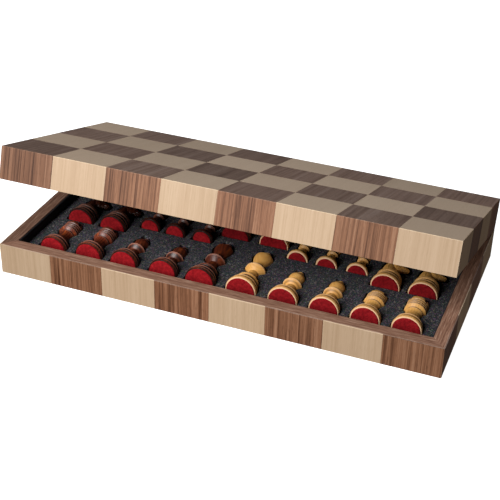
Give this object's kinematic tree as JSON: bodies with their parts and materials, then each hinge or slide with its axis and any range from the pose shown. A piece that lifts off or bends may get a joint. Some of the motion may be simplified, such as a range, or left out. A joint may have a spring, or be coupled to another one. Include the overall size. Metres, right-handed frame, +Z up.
{
  "type": "folding chess case",
  "caption": "Folding chess case of two hinged shallow halves with a walnut and maple chequer board outside and foam pockets holding dark and light turned chessmen.",
  "frame": {"origin": "middle of the tray half's underside", "axes": "+X to the right along the case, +Y to the hinged back, +Z up"},
  "size_m": [0.4, 0.2087, 0.1175],
  "materials": {
    "walnut": "satin",
    "maple": "satin",
    "plywood": "matte",
    "lining": "matte",
    "foam": "matte",
    "felt": "matte",
    "steel": "satin",
    "brass": "satin",
    "rosewood": "satin",
    "boxwood": "satin"
  },
  "bodies": {
    "tray": {"tray_front_wall": "walnut", "tray_back_wall": "walnut", "tray_left_wall": "walnut", "tray_right_wall": "walnut", "tray_bottom_panel": "plywood", "tray_walnut_squares": "walnut", "tray_maple_squares": "maple", "tray_lining": "lining", "tray_magnets": "steel", "tray_hinge_screws": "brass", "foam_insert": "foam", "left_hinge_tray_leaf": "brass", "right_hinge_tray_leaf": "brass", "left_hinge_pin": "steel", "right_hinge_pin": "steel"},
    "lid": {"lid_front_wall": "walnut", "lid_back_wall": "walnut", "lid_left_wall": "walnut", "lid_right_wall": "walnut", "lid_top_panel": "plywood", "lid_walnut_squares": "walnut", "lid_maple_squares": "maple", "lid_lining": "lining", "lid_foam_pad": "foam", "lid_magnets": "steel", "lid_hinge_screws": "brass", "left_hinge_lid_leaf": "brass", "right_hinge_lid_leaf": "brass"},
    "dark_rook_1": {"dark_rook_1": "rosewood"},
    "dark_rook_2": {"dark_rook_2": "rosewood"},
    "dark_bishop_1": {"dark_bishop_1": "rosewood"},
    "dark_bishop_2": {"dark_bishop_2": "rosewood"},
    "dark_queen": {"dark_queen": "rosewood"},
    "dark_knight_1": {"dark_knight_1": "rosewood"},
    "dark_knight_2": {"dark_knight_2": "rosewood"},
    "dark_king": {"dark_king": "rosewood"},
    "dark_pawn_1": {"dark_pawn_1": "rosewood"},
    "dark_pawn_2": {"dark_pawn_2": "rosewood"},
    "dark_pawn_3": {"dark_pawn_3": "rosewood"},
    "dark_pawn_4": {"dark_pawn_4": "rosewood"},
    "dark_pawn_5": {"dark_pawn_5": "rosewood"},
    "dark_pawn_6": {"dark_pawn_6": "rosewood"},
    "dark_pawn_7": {"dark_pawn_7": "rosewood"},
    "dark_pawn_8": {"dark_pawn_8": "rosewood"},
    "light_rook_1": {"light_rook_1": "boxwood"},
    "light_rook_2": {"light_rook_2": "boxwood"},
    "light_bishop_1": {"light_bishop_1": "boxwood"},
    "light_bishop_2": {"light_bishop_2": "boxwood"},
    "light_queen": {"light_queen": "boxwood"},
    "light_knight_1": {"light_knight_1": "boxwood"},
    "light_knight_2": {"light_knight_2": "boxwood"},
    "light_king": {"light_king": "boxwood"},
    "light_pawn_1": {"light_pawn_1": "boxwood"},
    "light_pawn_2": {"light_pawn_2": "boxwood"},
    "light_pawn_3": {"light_pawn_3": "boxwood"},
    "light_pawn_4": {"light_pawn_4": "boxwood"},
    "light_pawn_5": {"light_pawn_5": "boxwood"},
    "light_pawn_6": {"light_pawn_6": "boxwood"},
    "light_pawn_7": {"light_pawn_7": "boxwood"},
    "light_pawn_8": {"light_pawn_8": "boxwood"}
  },
  "joints": [
    {"name": "lid_hinge", "type": "hinge", "parent": "tray", "child": "lid", "pos_m": [0, 0.1, 0.0292], "axis": [-1, 0, 0], "range_deg": [-17.6, 162.4]},
    {"name": "dark_rook_1_lift", "type": "slide", "parent": "tray", "child": "dark_rook_1", "axis": [0, 0, 1], "range_m": [0, 0.018]},
    {"name": "dark_rook_2_lift", "type": "slide", "parent": "tray", "child": "dark_rook_2", "axis": [0, 0, 1], "range_m": [0, 0.018]},
    {"name": "dark_bishop_1_lift", "type": "slide", "parent": "tray", "child": "dark_bishop_1", "axis": [0, 0, 1], "range_m": [0, 0.018]},
    {"name": "dark_bishop_2_lift", "type": "slide", "parent": "tray", "child": "dark_bishop_2", "axis": [0, 0, 1], "range_m": [0, 0.018]},
    {"name": "dark_queen_lift", "type": "slide", "parent": "tray", "child": "dark_queen", "axis": [0, 0, 1], "range_m": [0, 0.018]},
    {"name": "dark_knight_1_lift", "type": "slide", "parent": "tray", "child": "dark_knight_1", "axis": [0, 0, 1], "range_m": [0, 0.018]},
    {"name": "dark_knight_2_lift", "type": "slide", "parent": "tray", "child": "dark_knight_2", "axis": [0, 0, 1], "range_m": [0, 0.018]},
    {"name": "dark_king_lift", "type": "slide", "parent": "tray", "child": "dark_king", "axis": [0, 0, 1], "range_m": [0, 0.018]},
    {"name": "dark_pawn_1_lift", "type": "slide", "parent": "tray", "child": "dark_pawn_1", "axis": [0, 0, 1], "range_m": [0, 0.018]},
    {"name": "dark_pawn_2_lift", "type": "slide", "parent": "tray", "child": "dark_pawn_2", "axis": [0, 0, 1], "range_m": [0, 0.018]},
    {"name": "dark_pawn_3_lift", "type": "slide", "parent": "tray", "child": "dark_pawn_3", "axis": [0, 0, 1], "range_m": [0, 0.018]},
    {"name": "dark_pawn_4_lift", "type": "slide", "parent": "tray", "child": "dark_pawn_4", "axis": [0, 0, 1], "range_m": [0, 0.018]},
    {"name": "dark_pawn_5_lift", "type": "slide", "parent": "tray", "child": "dark_pawn_5", "axis": [0, 0, 1], "range_m": [0, 0.018]},
    {"name": "dark_pawn_6_lift", "type": "slide", "parent": "tray", "child": "dark_pawn_6", "axis": [0, 0, 1], "range_m": [0, 0.018]},
    {"name": "dark_pawn_7_lift", "type": "slide", "parent": "tray", "child": "dark_pawn_7", "axis": [0, 0, 1], "range_m": [0, 0.018]},
    {"name": "dark_pawn_8_lift", "type": "slide", "parent": "tray", "child": "dark_pawn_8", "axis": [0, 0, 1], "range_m": [0, 0.018]},
    {"name": "light_rook_1_lift", "type": "slide", "parent": "tray", "child": "light_rook_1", "axis": [0, 0, 1], "range_m": [0, 0.018]},
    {"name": "light_rook_2_lift", "type": "slide", "parent": "tray", "child": "light_rook_2", "axis": [0, 0, 1], "range_m": [0, 0.018]},
    {"name": "light_bishop_1_lift", "type": "slide", "parent": "tray", "child": "light_bishop_1", "axis": [0, 0, 1], "range_m": [0, 0.018]},
    {"name": "light_bishop_2_lift", "type": "slide", "parent": "tray", "child": "light_bishop_2", "axis": [0, 0, 1], "range_m": [0, 0.018]},
    {"name": "light_queen_lift", "type": "slide", "parent": "tray", "child": "light_queen", "axis": [0, 0, 1], "range_m": [0, 0.018]},
    {"name": "light_knight_1_lift", "type": "slide", "parent": "tray", "child": "light_knight_1", "axis": [0, 0, 1], "range_m": [0, 0.018]},
    {"name": "light_knight_2_lift", "type": "slide", "parent": "tray", "child": "light_knight_2", "axis": [0, 0, 1], "range_m": [0, 0.018]},
    {"name": "light_king_lift", "type": "slide", "parent": "tray", "child": "light_king", "axis": [0, 0, 1], "range_m": [0, 0.018]},
    {"name": "light_pawn_1_lift", "type": "slide", "parent": "tray", "child": "light_pawn_1", "axis": [0, 0, 1], "range_m": [0, 0.018]},
    {"name": "light_pawn_2_lift", "type": "slide", "parent": "tray", "child": "light_pawn_2", "axis": [0, 0, 1], "range_m": [0, 0.018]},
    {"name": "light_pawn_3_lift", "type": "slide", "parent": "tray", "child": "light_pawn_3", "axis": [0, 0, 1], "range_m": [0, 0.018]},
    {"name": "light_pawn_4_lift", "type": "slide", "parent": "tray", "child": "light_pawn_4", "axis": [0, 0, 1], "range_m": [0, 0.018]},
    {"name": "light_pawn_5_lift", "type": "slide", "parent": "tray", "child": "light_pawn_5", "axis": [0, 0, 1], "range_m": [0, 0.018]},
    {"name": "light_pawn_6_lift", "type": "slide", "parent": "tray", "child": "light_pawn_6", "axis": [0, 0, 1], "range_m": [0, 0.018]},
    {"name": "light_pawn_7_lift", "type": "slide", "parent": "tray", "child": "light_pawn_7", "axis": [0, 0, 1], "range_m": [0, 0.018]},
    {"name": "light_pawn_8_lift", "type": "slide", "parent": "tray", "child": "light_pawn_8", "axis": [0, 0, 1], "range_m": [0, 0.018]}
  ]
}
